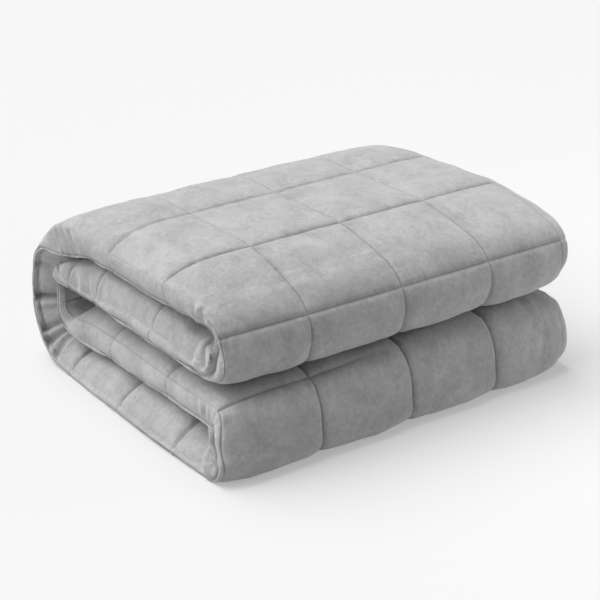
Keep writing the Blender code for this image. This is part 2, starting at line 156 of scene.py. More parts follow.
# along: place on the strip; y, z: middle of the cloth; outer, inner: its reach to both faces in
# the middle of a square; outerValley, innerValley: how deep the seams lie under that; slant and
# lift: how far a fold comes forward and up for each millimetre of X
pathColumns = ("along", "y", "z", "outer", "inner", "outerValley", "innerValley", "slant", "lift")
path = np.array((
    (-0.64, 246.5, 129.0, 13.0, 14.0, 4.0, 4.0, 0.0, 0.0),      # first end
    (-0.55, 236.0, 128.5, 15.0, 20.0, 4.0, 4.0, 0.0, 0.0),
    (-0.42, 219.0, 127.5, 20.0, 24.0, 5.0, 4.0, 0.0, 0.0),
    (0.0, 163.0, 128.0, 25.5, 25.5, 5.0, 2.0, 0.0, 0.0),        # second layer
    (0.5, 98.5, 128.0, 26.0, 25.5, 5.0, 2.0, 0.0, 0.0),
    (1.0, 35.0, 128.0, 26.0, 25.5, 5.0, 2.2, 0.01, 0.0),
    (1.35, -25.0, 126.5, 26.0, 25.0, 5.0, 3.5, 0.03, 0.0),
    (1.55, -62.0, 124.0, 26.0, 22.0, 4.5, 5.0, 0.05, 0.005),
    (1.68, -82.0, 122.0, 26.0, 14.0, 4.5, 4.0, 0.06, 0.01),
    (1.75, -89.5, 123.3, 26.0, 9.5, 4.5, 3.0, 0.06, 0.014),     # upper front fold
    (1.82, -92.5, 129.0, 26.0, 9.0, 4.5, 3.0, 0.06, 0.016),
    (1.88, -94.6, 136.0, 26.0, 9.5, 3.8, 3.0, 0.06, 0.016),
    (1.94, -94.0, 144.5, 26.0, 9.5, 3.4, 3.0, 0.06, 0.016),
    (2.0, -90.3, 152.3, 26.0, 11.0, 3.2, 3.0, 0.06, 0.016),
    (2.07, -84.0, 158.0, 27.0, 13.0, 3.2, 4.0, 0.06, 0.015),
    (2.15, -76.0, 162.5, 28.0, 15.0, 3.4, 5.0, 0.058, 0.013),
    (2.3, -60.0, 168.3, 29.0, 17.0, 4.5, 5.0, 0.05, 0.01),
    (2.5, -41.0, 174.5, 29.5, 19.5, 4.5, 5.0, 0.04, 0.005),
    (2.75, -19.0, 180.0, 30.0, 22.5, 4.5, 5.0, 0.025, 0.0),
    (3.0, 2.0, 184.0, 29.0, 25.5, 3.4, 5.0, 0.01, 0.0),         # top layer
    (3.5, 64.0, 184.0, 29.0, 26.5, 3.4, 5.0, 0.0, 0.0),
    (4.0, 127.0, 183.5, 29.0, 26.5, 3.2, 5.0, 0.0, 0.0),
    (4.55, 196.0, 179.5, 30.8, 24.0, 1.8, 6.0, 0.0, 0.0),       # outer back
    (4.95, 235.0, 165.5, 30.5, 23.0, 2.0, 4.0, 0.0, 0.0),
    (5.35, 266.0, 140.0, 28.0, 22.5, 4.0, 3.5, 0.0, 0.0),
    (5.75, 279.0, 103.0, 28.0, 22.5, 4.0, 3.5, 0.0, 0.0),
    (6.15, 275.5, 62.0, 27.0, 22.5, 4.0, 3.5, 0.0, 0.0),
    (6.55, 248.0, 29.0, 25.0, 23.5, 4.0, 5.5, 0.0, 0.0),
    (6.95, 205.0, 22.5, 25.0, 24.5, 4.0, 9.5, 0.0, 0.0),
    (8.0, 81.0, 22.5, 25.0, 26.0, 4.0, 11.0, 0.0, 0.0),         # bottom layer
    (9.0, -39.0, 22.5, 25.0, 25.5, 4.0, 11.0, 0.025, 0.0),
    (9.24, -73.0, 22.0, 25.0, 23.0, 4.0, 8.0, 0.04, 0.0),
    (9.40, -99.5, 21.5, 29.0, 15.0, 4.5, 5.0, 0.048, 0.0),      # lower front fold
    (9.51, -112.0, 26.0, 32.5, 10.0, 4.5, 3.0, 0.048, 0.0),
    (9.62, -115.5, 37.0, 26.0, 10.0, 4.5, 3.0, 0.045, 0.003),
    (9.74, -115.0, 51.0, 25.0, 12.5, 4.5, 3.0, 0.04, 0.006),
    (9.87, -110.5, 63.5, 25.0, 16.0, 4.5, 4.0, 0.036, 0.009),
    (10.0, -103.0, 70.8, 25.0, 19.0, 4.5, 5.0, 0.034, 0.01),
    (10.12, -90.0, 73.3, 25.0, 21.0, 4.5, 5.0, 0.03, 0.009),
    (10.5, -50.0, 73.0, 25.0, 22.5, 5.0, 5.0, 0.02, 0.005),
    (11.0, 3.0, 72.5, 25.0, 22.5, 5.0, 5.0, 0.0, 0.0),          # third layer
    (12.0, 130.0, 72.5, 25.0, 22.5, 5.0, 5.0, 0.0, 0.0),
    (12.37, 180.0, 72.5, 22.0, 22.0, 4.0, 4.0, 0.0, 0.0),
    (12.52, 206.0, 72.0, 17.0, 20.0, 3.0, 4.0, 0.0, 0.0),       # turned up at the back
    (12.62, 224.0, 72.0, 12.0, 18.0, 2.5, 4.0, 0.0, 0.0),
    (12.68, 233.0, 74.5, 9.5, 16.0, 2.0, 3.0, 0.0, 0.0),
    (12.73, 237.5, 79.5, 9.5, 14.0, 2.0, 3.0, 0.0, 0.0),
    (12.8, 239.0, 87.0, 10.5, 12.0, 2.0, 3.0, 0.0, 0.0),
    (12.9, 240.0, 99.0, 9.0, 10.0, 2.0, 3.0, 0.0, 0.0),
    (13.02, 240.0, 112.0, 7.0, 7.0, 2.0, 3.0, 0.0, 0.0),        # last end
))

# xOuter, nOuter: the edge seam in the outer face, as X and height over the middle of the cloth;
# xInner, nInner: the same in the inner face; xHem, nHem: the hem
edgeColumns = ("along", "xOuter", "nOuter", "xInner", "nInner", "xHem", "nHem")
leftEdge = np.array((
    (-0.64, -116.0, 8.0, -120.0, 2.0, -130.0, 3.0),     # first end
    (-0.55, -112.0, 12.0, -119.0, 7.0, -127.0, 8.0),
    (-0.42, -108.0, 16.0, -118.0, 11.0, -122.0, 15.0),
    (0.0, -108.0, 20.0, -117.0, 11.0, -116.0, 20.0),     # second layer
    (0.5, -108.0, 20.5, -114.0, 6.0, -115.5, 21.0),
    (1.2, -108.0, 19.5, -113.0, 4.5, -115.0, 19.5),
    (1.5, -108.0, 17.0, -113.0, 4.0, -114.0, 16.0),
    (1.68, -108.0, 17.0, -114.0, 1.0, -111.0, 11.0),
    (1.75, -107.0, 18.0, -114.0, -3.0, -108.0, 6.0),
    (1.82, -106.0, 18.5, -113.0, -5.0, -106.0, 1.0),     # upper front fold
    (1.88, -106.0, 15.0, -113.0, -5.0, -105.0, 0.0),
    (1.94, -106.5, 14.0, -110.0, -6.0, -103.5, 2.5),
    (2.0, -107.0, 15.5, -100.0, -6.0, -103.5, 5.0),
    (2.07, -108.5, 17.5, -94.0, -5.5, -104.0, 5.5),
    (2.15, -110.5, 18.0, -90.0, -6.0, -105.5, 3.5),
    (2.3, -112.5, 16.0, -89.0, -9.0, -107.5, -1.5),
    (2.5, -114.0, 12.5, -92.0, -14.0, -108.5, -8.0),
    (3.0, -115.0, 8.0, -103.0, -21.0, -109.0, -18.0),    # top layer
    (4.0, -114.0, 2.0, -104.0, -23.0, -110.0, -20.0),
    (4.55, -116.0, 7.0, -106.0, -23.0, -113.0, -20.0),
    (4.95, -121.0, 23.0, -114.0, -16.0, -118.0, -17.0),  # outer back
    (5.15, -122.0, 23.0, -121.0, -4.0, -126.0, -7.0),
    (5.35, -122.0, 23.0, -126.0, 10.0, -130.0, 14.0),
    (5.75, -122.0, 23.0, -129.0, 15.0, -133.0, 22.0),
    (6.15, -123.0, 22.0, -131.0, 15.0, -136.0, 21.0),
    (6.55, -125.0, 22.0, -134.0, 14.0, -140.0, 20.0),
    (6.95, -128.0, 21.5, -136.0, 11.0, -139.5, 20.3),    # bottom layer
    (8.0, -128.0, 21.5, -136.0, 9.5, -138.5, 20.5),
    (9.0, -126.0, 21.5, -133.0, 12.5, -135.0, 20.5),
    (9.3, -124.0, 22.5, -130.5, 11.0, -132.0, 20.5),
    (9.4, -123.5, 24.0, -130.0, 8.0, -131.0, 21.5),
    (9.47, -124.0, 26.0, -129.0, 1.0, -130.0, 23.0),    # lower front fold
    (9.55, -125.0, 21.0, -127.0, -5.0, -127.0, 10.0),
    (9.65, -124.0, 9.0, -124.0, -11.0, -122.0, -5.0),
    (9.75, -121.5, 6.0, -122.0, -14.0, -119.0, -9.0),
    (9.87, -119.0, 8.0, -120.0, -17.0, -117.0, -11.0),
    (10.0, -116.0, 12.0, -116.0, -19.0, -117.0, -14.0),
    (10.12, -116.0, 9.0, -112.0, -21.0, -117.0, -15.5),
    (10.4, -116.0, 7.0, -110.0, -23.0, -117.0, -16.0),
    (11.0, -115.0, 5.0, -109.0, -25.0, -116.0, -17.5),   # third layer
    (11.45, -114.0, 3.5, -109.0, -25.0, -117.0, -22.5),
    (12.0, -113.0, 2.0, -109.0, -27.0, -117.0, -23.5),
    (12.35, -116.0, 2.0, -112.0, -25.0, -120.0, -27.0),
    (12.55, -119.0, 0.0, -117.0, -20.0, -125.0, -24.0),
    (12.68, -121.0, 2.0, -120.0, -17.0, -128.0, -15.0),
    (12.74, -121.0, 5.0, -120.0, -12.0, -128.5, -5.0),
    (12.82, -121.0, 7.0, -120.0, -9.0, -129.0, 0.0),     # turned up at the back
    (13.02, -120.0, 6.0, -120.0, -6.0, -128.0, 1.0),
))
rightEdge = np.array((
    (-0.64, 362.0, 8.0, 364.0, -8.0, 376.0, 0.0),
    (0.0, 365.0, 18.0, 368.0, -14.0, 382.0, 1.0),
    (1.4, 365.0, 18.0, 366.0, -13.0, 382.0, 1.0),
    (1.76, 366.0, 20.0, 358.0, -9.0, 381.0, 6.0),
    (1.95, 368.0, 20.0, 354.0, -4.0, 383.0, 12.0),
    (2.16, 370.0, 21.0, 355.0, -6.0, 384.0, 16.0),
    (2.52, 371.0, 23.0, 361.0, -15.0, 383.0, 20.0),
    (3.0, 371.0, 24.5, 364.0, -19.0, 381.5, 20.0),
    (4.0, 371.0, 24.5, 364.0, -19.0, 380.0, 18.0),
    (5.0, 369.0, 24.0, 362.0, -13.0, 380.0, 14.0),
    (5.75, 366.0, 22.0, 360.0, -12.0, 381.0, 11.0),
    (6.5, 366.0, 20.0, 362.0, -12.0, 382.0, 11.0),
    (7.2, 366.0, 20.0, 368.0, -12.0, 383.0, 11.0),
    (9.0, 366.0, 20.0, 368.0, -12.0, 383.0, 11.0),
    (9.35, 365.0, 20.0, 360.0, -9.0, 383.0, 10.0),
    (9.68, 364.0, 20.0, 353.0, -4.0, 380.0, 9.0),
    (10.0, 364.0, 19.0, 355.0, -8.0, 380.0, 6.0),
    (11.0, 366.0, 17.0, 365.0, -15.0, 382.0, 0.0),
    (12.4, 365.0, 15.0, 365.0, -15.0, 382.0, -1.0),
    (13.02, 362.0, 7.0, 362.0, -7.0, 376.0, 0.0),
))

tableOrigin = (-121.74, -72.02)    # the tables' X = 0 and Y = 0 in the frame, in mm

faceSigns = {"outer": 1.0, "inner": -1.0}    # the side of the cloth's middle on which each lies
smoothing = {
    "step": 0.004,             # squares between the fine places of a table's curve
    "overrun": 0.2,            # squares that the curve runs on beyond the table
    "halfBell": 20,            # fine places on each side of the bell's middle
    "bellReach": 2.5,          # its half width, where exp(-x^2) is cut off
}
waveSettings = {
    "count": 18,               # plane waves in each sum
    "spread": (0.7, 1.5),      # shortest and longest wave, as shares of the length asked for
    # gathers beside the seams of both ways, and the long and the short waves
    "seeds": {
        "outer": {"gathers": (3, 13), "waves": (20, 21)},
        "inner": {"gathers": (4, 14), "waves": (30, 31)},
    },
}


def tableColumn(table, columns, name, along):
    # cubic Hermite through the rows of one column, read at fine places and averaged by a bell
    places = table[:, 0]
    values = table[:, columns.index(name)]
    slopes = np.gradient(values, places)
    overrun, half, reach = (smoothing[key] for key in ("overrun", "halfBell", "bellReach"))
    fine = np.arange(places[0] - overrun, places[-1] + overrun, smoothing["step"])
    at = np.clip(np.searchsorted(places, fine, side="right") - 1, 0, len(places) - 2)
    step = places[at + 1] - places[at]
    t = (fine - places[at]) / step
    curve = (values[at] * (2 * t**3 - 3 * t**2 + 1)
             + slopes[at] * step * (t**3 - 2 * t**2 + t)
             + values[at + 1] * (3 * t**2 - 2 * t**3)
             + slopes[at + 1] * step * (t**3 - t**2))
    bell = np.exp(-np.linspace(-reach, reach, 2 * half + 1) ** 2)
    curve = np.pad(curve, half, mode="reflect", reflect_type="odd")
    return np.interp(along, fine, np.convolve(curve, bell / bell.sum(), "valid"))


def seamPlaces():  # squares where the seams lie, counted across the blanket and along it
    first, last = blanket["firstSeam"], blanket["lastSeam"]
    whole = range(int(np.ceil(first)), int(last) + 1)
    return list(range(blanket["squaresAcross"] + 1)), [first, *whole, last]


def seamDistance(places, first, last):  # squares to the nearest whole number or end seam
    whole = np.clip(np.round(places), np.ceil(first), np.floor(last))
    ends = np.minimum(np.abs(places - first), np.abs(places - last))
    return np.minimum(np.abs(places - whole), ends)


def seamsAway(u, v):  # squares to the nearest seam that u crosses, and to the nearest that v crosses
    awayU = seamDistance(u, 0, blanket["squaresAcross"])
    awayV = seamDistance(v, blanket["firstSeam"], blanket["lastSeam"])
    return awayU, awayV


def atEdgeSeam(u, awayU, awayV):  # true where the nearest seam is one of the two edge seams
    return (awayU < awayV) & ((u < 0.5) | (u > blanket["squaresAcross"] - 0.5))


def smoothedSeam(u, v):  # smoothstep in u times exp(-(distance / reach)^4) in v
    place, reach, start, rise = blanket["smoothedSeam"]
    t = np.clip((u - start) / rise, 0.0, 1.0)
    return t * t * (3.0 - 2.0 * t) * np.exp(-(((v - place) / reach) ** 4))


def crownRise(distance):  # share of 1 - exp(-d / width), and the rest of 1 - (1 - 2d)^2
    crease = 1.0 - np.exp(-distance * blanket["square"] / blanket["creaseWidth"])
    dome = 1.0 - (1.0 - 2.0 * np.minimum(distance, 0.5)) ** 2
    return blanket["creaseShare"] * crease + (1.0 - blanket["creaseShare"]) * dome


def clothMiddle(along):  # place of the path, and its tangent turned a quarter outwards
    nudge = 0.01
    y, z = (tableColumn(path, pathColumns, name, along) for name in ("y", "z"))
    runY, runZ = (tableColumn(path, pathColumns, name, along + nudge)
                  - tableColumn(path, pathColumns, name, along - nudge) for name in ("y", "z"))
    length = np.hypot(runY, runZ)
    return y, z, -runZ / length, runY / length


def edgeBlend(along, edge, far, face, startX, reach, sign):
    # over the last square X is a parabola and height falls by a power, to the edge seam; over
    # the border both run to the hem, with a half sine of bulge
    square = blanket["square"]
    seamX, seamN, hemX, hemN = (tableColumn(edge, edgeColumns, name + part, along)
                                for part in (face.title(), "Hem") for name in "xn")
    hemN = hemN + sign * blanket["hemThickness"] / 2
    side = np.sign(hemX)
    run = np.clip(far, 0.0, 1.0)
    innerX = startX + side * square * run + (seamX - startX - side * square) * run**2
    power = np.interp(along, *np.array(blanket[face + "Drop"]).T)
    innerN = reach + (seamN - reach) * run**power
    t = np.clip((far - 1.0) * square / blanket["border"], 0.0, 1.0)
    borderX = seamX + (hemX - seamX) * t + side * blanket["borderBulge"] * np.sin(np.pi * t)
    borderN = seamN + (hemN - seamN) * t ** blanket["borderFall"]
    return np.where(t > 0, borderX, innerX), np.where(t > 0, borderN, innerN)


def clothFace(u, v, face):
    # middle of the cloth plus its reach, raised by the squares' crowns between the seams
    first, last = blanket["firstSeam"], blanket["lastSeam"]
    count, square = blanket["squaresAcross"], blanket["square"]
    sign = faceSigns[face]
    awayU, awayV = seamsAway(u, v)
    valley = tableColumn(path, pathColumns, face + "Valley", v)
    crown = crownRise(awayV)
    crown = crown + (1.0 - crown) * smoothedSeam(u, v) * (face == "outer")
    rise = valley * crownRise(awayU) * crown
    rise = np.where((u < 0) | (u > count) | (v < first) | (v > last), 0.0, rise)
    reach = sign * (tableColumn(path, pathColumns, face, v) - valley)
    leftX, leftN = edgeBlend(v, leftEdge, 1.0 - u, face, 0.0, reach, sign)
    rightX, rightN = edgeBlend(v, rightEdge, u - (count - 1), face, (count - 2) * square, reach, sign)
    x = np.where(u < 1, leftX, np.where(u > count - 1, rightX, (u - 1) * square))
    n = np.where(u < 1, leftN, np.where(u > count - 1, rightN, reach)) + sign * rise
    past = np.maximum(first - v, v - last) * square / blanket["border"]
    closing = 1.0 - np.sqrt(1.0 - np.clip(past, 0.0, 1.0) ** 2)    # a half round end
    n = n * (1.0 - closing) + sign * blanket["hemThickness"] / 2 * closing
    y, z, normalY, normalZ = clothMiddle(v)
    y = y - tableColumn(path, pathColumns, "slant", v) * x + normalY * n
    z = z + tableColumn(path, pathColumns, "lift", v) * np.maximum(x, 0.0) + normalZ * n
    return np.stack([x + tableOrigin[0], y + tableOrigin[1], z], axis=-1)


def gridLines(seams, busy):
    # lines at equal steps of the running sum of their density, the nearest ones moved to seams
    square, border = blanket["square"], blanket["border"] / blanket["square"]
    fine = np.linspace(seams[0] - border, seams[-1] + border, blanket["gridSamples"])
    density = np.full_like(fine, 1.0 / blanket["gridStep"])
    for start, end, step in busy:
        inside = (fine > start) & (fine < end)
        density[inside] = np.maximum(density[inside], 1.0 / step)
    near = np.abs(fine[:, None] - np.array(seams)).min(axis=1) * square
    density += np.exp(-near / blanket["seamReach"]) / blanket["seamStep"]
    steps = (density[1:] + density[:-1]) / 2 * np.diff(fine) * square
    total = np.concatenate([[0.0], np.cumsum(steps)])
    lines = np.interp(np.linspace(0.0, total[-1], int(total[-1])), total, fine)
    for seam in seams:
        lines[np.argmin(np.abs(lines - seam))] = seam
    return lines


def gridNormals(points, sign):  # cross product of the grid's two differences
    normal = np.cross(np.gradient(points, axis=1), np.gradient(points, axis=0)) * sign
    return normal / np.linalg.norm(normal, axis=-1, keepdims=True)


def waveNoise(x, y, length, seed):  # sum of plane waves in seeded directions
    count = waveSettings["count"]
    draw = np.random.default_rng(seed)
    angle, phase = draw.uniform(0, 2 * np.pi, (2, count))
    pitch = 2 * np.pi / (length * draw.uniform(*waveSettings["spread"], count))
    waves = [np.sin(p * (x * np.cos(a) + y * np.sin(a)) + f) for a, f, p in zip(angle, phase, pitch)]
    return sum(waves) / np.sqrt(count / 2)


def seamRelief(u, v, face):
    # a bell-shaped dip on every seam, and gathers beside it that fade away from the seam
    square, count = blanket["square"], blanket["squaresAcross"]
    awayU, awayV = (away * square for away in seamsAway(u, v))
    slack = 0.001    # squares by which the outermost seams still count as quilting
    quilted = (u > -slack) & (u < count + slack)
    quilted &= (v > blanket["firstSeam"] - slack) & (v < blanket["lastSeam"] + slack)
    dip = np.exp(-(np.minimum(awayU, awayV) / blanket["stitchWidth"]) ** 2)
    depth = np.where(quilted, blanket["stitchDepth"], blanket["borderSeamDepth"])
    depth = np.where(atEdgeSeam(u, awayU, awayV), depth * blanket["edgeStitchShare"], depth)
    depth = np.where(awayV < awayU, depth * (1.0 - smoothedSeam(u, v)), depth)
    shiftU, shiftV = blanket["gatherShift"]
    ways = ((awayU, v * square, np.floor(u) * shiftU), (awayV, u * square, np.floor(v) * shiftV))
    gathers = 0.0
    for (away, run, side), seed in zip(ways, waveSettings["seeds"][face]["gathers"]):
        begins = 1 - np.exp(-(away / blanket["gatherStart"]) ** 2)
        fade = np.exp(-away / blanket["gatherWidth"]) * begins
        gathers = gathers + fade * waveNoise(run, side, blanket["gatherLength"], seed)
    return gathers * blanket["gatherDepth"] - dip * depth


def softWaves(u, v, face):  # long and short waves of the filling, calm at the seams
    square = blanket["square"]
    awayU, awayV = seamsAway(u, v)
    calm = np.clip(crownRise(awayU) * crownRise(awayV), 0.0, 1.0)
    rise = 0.0
    for (length, height), seed in zip(blanket["waves"], waveSettings["seeds"][face]["waves"]):
        rise = rise + waveNoise(v * square, u * square, length, seed) * height
    return rise * calm


def creaseRelief(u, v, face):
    # nearest distance to each bent line; a sharp crease falls off as exp(-d / width), a soft one
    # as exp(-(d / width)^2), and both fade out as 1 - (2t - 1)^4 towards the line's two ends
    places = np.stack([u, v], axis=-1)
    relief = np.zeros(u.shape)
    for side, width, height, *bends in creases:
        if side != face:
            continue
        bends = np.array(bends)
        parts = np.linalg.norm(np.diff(bends, axis=0), axis=1)
        done, nearest, share = 0.0, np.full(u.shape, np.inf), np.zeros(u.shape)
        for start, end, length in zip(bends[:-1], bends[1:], parts):
            t = np.clip(((places - start) @ (end - start)) / length**2, 0.0, 1.0)
            away = np.linalg.norm(places - start - t[..., None] * (end - start), axis=-1)
            closer = away < nearest
            nearest = np.where(closer, away, nearest)
            share = np.where(closer, (done + t * length) / parts.sum(), share)
            done += length
        nearest = nearest * blanket["square"] / abs(width)
        shape = np.exp(-nearest) if width < 0 else np.exp(-(nearest**2))
        relief += height * shape * (1.0 - (2.0 * share - 1.0) ** 4)
    return relief


def clothPull(u, v, face):  # a bell over u and v for each pull
    total = np.zeros(u.shape + (3,))
    for side, atU, atV, reachU, reachV, *move in pulls:
        if side in (face, "both"):
            bell = np.exp(-(((u - atU) / reachU) ** 2) - ((v - atV) / reachV) ** 2)
            total += bell[..., None] * np.array(move)
    return total


def finishedFace(u, v, face):  # the smooth face with its pulls, and its relief along the normals
    points = clothFace(u, v, face) + clothPull(u, v, face)
    normals = gridNormals(points, faceSigns[face])
    relief = seamRelief(u, v, face) + softWaves(u, v, face) + creaseRelief(u, v, face)
    points = points + normals * relief[..., None]
    points[..., 2] = np.maximum(points[..., 2], 0.0)
    return points


def hemRings(outer, inner, rim, inward):
    # half circles from the outer to the inner rim: they bulge at right angles to the line that
    # joins the two, away from the next points inward
    middle = (outer[rim] + inner[rim]) / 2
    half = (outer[rim] - inner[rim]) / 2
    away = middle - (outer[inward] + inner[inward]) / 2
    away -= half * (away * half).sum(1, keepdims=True) / (half * half).sum(1, keepdims=True)
    away *= np.linalg.norm(half, axis=1, keepdims=True) / np.linalg.norm(away, axis=1, keepdims=True)
    angles = np.pi * np.arange(1, blanket["hemRounding"] + 1) / (blanket["hemRounding"] + 1)
    return [middle + half * cos(angle) + away * sin(angle) for angle in angles]


def blanketQuads(index, rim):
    # the outer face's quads, the inner face's turned round, and a strip for each step of the hem
    quads = np.stack([index[:-1, :-1], index[:-1, 1:], index[1:, 1:], index[1:, :-1]], axis=-1)
    quads = quads.reshape(-1, 4)
    ring = np.arange(len(rim)) + 2 * index.size
    loops = [rim] + [ring + number * len(rim) for number in range(blanket["hemRounding"])]
    loops.append(rim + index.size)
    hem = [np.stack([np.roll(a, -1), a, b, np.roll(b, -1)], axis=-1)
           for a, b in zip(loops[:-1], loops[1:])]
    return np.concatenate([quads, quads[:, ::-1] + index.size] + hem)


def lengthAlong(points, axis):  # running sum of the mean steps along one way of the grid, in m
    steps = np.linalg.norm(np.diff(points, axis=axis), axis=-1).mean(axis=1 - axis)
    return np.concatenate([[0.0], np.cumsum(steps)]) / 1000


def clothMaps(faces, across, along, rim):
    # in metres on the cloth: the place, and the distances to the nearest seams of both ways; the
    # inner face's places lie a metre apart from the outer's
    seams = [np.isin(lines, places) for lines, places in zip((across, along), seamPlaces())]
    places, distances = [], []
    for number, points in enumerate(faces):
        t, s = lengthAlong(points, 1), lengthAlong(points, 0)
        away = [np.abs(run[:, None] - run[seam]).min(axis=1) for run, seam in zip((t, s), seams)]
        places.append(np.stack(np.meshgrid(t + number, s), axis=-1).reshape(-1, 2))
        distances.append(np.stack(np.meshgrid(*away), axis=-1).reshape(-1, 2))
    rounding = blanket["hemRounding"]
    places, distances = (np.concatenate([outer, inner] + [outer[rim]] * rounding)
                         for outer, inner in (places, distances))
    return {"clothMap": places, "seamMap": distances}


# how strong the painted seam shade is in each place
shadeOnSeams = {
    "edgeStrength": 0.45,      # along the edge seams and on the border
    "borderStart": 0.02,       # squares beyond the edge seam
    "insideTurn": 1.6,         # inside the roll: the place where the second strength takes over
    "insideStrengths": (0.4, 0.6),
    # place and reach of the gathered left ends, where no painted seam shade is laid, and their width
    "gathered": ((1.78, 0.32), (9.68, 0.3), (6.2, 0.45)),
    "gatheredWidth": 0.4,
}


def seamStrength(u, v, face):
    # how strong the painted shade along the seams is: less along the edge seams, on the border and
    # inside the roll, and none where the folds' ends are gathered or the seam is stuffed out; a gathered
    # end takes away exp(-(distance / reach)^6)
    start, edge = shadeOnSeams["borderStart"], shadeOnSeams["edgeStrength"]
    awayU, awayV = seamsAway(u, v)
    strength = np.where((u < -start) | (u > blanket["squaresAcross"] + start), edge, 1.0)
    strength = np.where(atEdgeSeam(u, awayU, awayV), edge, strength)
    strength = np.where(awayV < awayU, strength * (1.0 - smoothedSeam(u, v)), strength)
    if face == "inner":
        strength = strength * np.where(v < shadeOnSeams["insideTurn"], *shadeOnSeams["insideStrengths"])
        for place, reach in shadeOnSeams["gathered"]:
            hidden = np.exp(-(((v - place) / reach) ** 6)) * (u < shadeOnSeams["gatheredWidth"])
            strength = strength * (1.0 - hidden)
    return strength


def buildBlanket():
    # both faces on one grid, joined round the hem; rim is the grid's outline, inward is the next
    # point in from each of its points, and the hem's rings get no painted seam shade
    crossSeams, longSeams = seamPlaces()
    across = gridLines(crossSeams, blanket["busyColumns"])
    along = gridLines(longSeams, blanket["busyRows"])
    print("grid:", len(along), "rows,", len(across), "columns")
    u, v = np.meshgrid(across, along)
    faces = [finishedFace(u, v, face) for face in faceSigns]
    index = np.arange(u.size).reshape(u.shape)
    rim = np.concatenate([index[0, :], index[1:, -1], index[-1, -2::-1], index[-2:0:-1, 0]])
    inward = np.concatenate([index[1, :], index[1:, -2], index[-2, -2::-1], index[-2:0:-1, 1]])
    outer, inner = (points.reshape(-1, 3) for points in faces)
    rings = hemRings(outer, inner, rim, inward)
    points = np.concatenate([outer, inner] + rings) / 1000
    points[:, 2] = np.maximum(points[:, 2], 0.0)
    strength = [seamStrength(u, v, face).ravel() for face in faceSigns]
    strength = np.concatenate(strength + [np.zeros(len(rim))] * blanket["hemRounding"])
    maps = clothMaps(faces, across, along, rim)
    return makeMesh("weightedBlanket", points, blanketQuads(index, rim), maps, {"seamStrength": strength})


def makeMesh(name, points, quads, maps, values):  # foreach_set puts the arrays into one smooth mesh
    mesh = bpy.data.meshes.new(name)
    mesh.vertices.add(len(points))
    mesh.vertices.foreach_set("co", points.astype(np.float32).ravel())
    mesh.loops.add(quads.size)
    mesh.loops.foreach_set("vertex_index", quads.astype(np.int32).ravel())
    mesh.polygons.add(len(quads))
    mesh.polygons.foreach_set("loop_start", np.arange(0, quads.size, 4, dtype=np.int32))
    mesh.update(calc_edges=True)
    for title, places in maps.items():
        layer = mesh.uv_layers.new(name=title)
        layer.data.foreach_set("uv", places[quads.ravel()].astype(np.float32).ravel())
    for title, numbers in values.items():
        attribute = mesh.attributes.new(title, "FLOAT", "POINT")
        attribute.data.foreach_set("value", numbers.astype(np.float32))
    mesh.validate()
    mesh.shade_smooth()
    thing = bpy.data.objects.new(name, mesh)
    bpy.context.scene.collection.objects.link(thing)
    return thing


suede = {
    "light": (0.385, 0.382, 0.380, 1.0),
    "dark": (0.258, 0.257, 0.257, 1.0),
    # features a metre, detail, distortion, stretch, turn in degrees
    "clouds": (24.0, 3.0, 0.8, (1.0, 0.85), 20.0),
    "marks": (85.0, 6.0, 1.0, (1.0, 0.88), 25.0),
    "strokes": (260.0, 4.0, 0.6, (1.0, 0.8), -15.0),
    "grain": (1500.0, 2.0, 0.0, (1.0, 1.0), 0.0),
    "shares": (0.42, 0.30, 0.16),          # marks, strokes and grain, each mixed over the last
    "rampEnds": (0.38, 0.62),  # where in that mix the colour is all dark, and all light
    # painted shade along the seams, standing in for the shade in their pulled-in grooves
    "seamWidth": 0.0009,       # width of the painted shade line in the seam groove, in metres
    "paintedSeamShade": 0.36,
    "seamHalo": 0.004,         # reach of the softer painted shade beside that line
    "paintedHaloShade": 0.07,
    "stitchPitch": 0.0034,
    "stitchSwing": 0.3,        # the line's strength swings by this about 1 less this
    "roughness": 0.92,
    "specular": 0.2,
    "sheen": 0.35,
    "sheenRoughness": 0.45,
    "strokeShare": 0.4,        # strokes mixed over the marks in the soft bump
    "softBump": 0.0010,        # heights of the bumps in metres
    "grainBump": 0.00025,
}


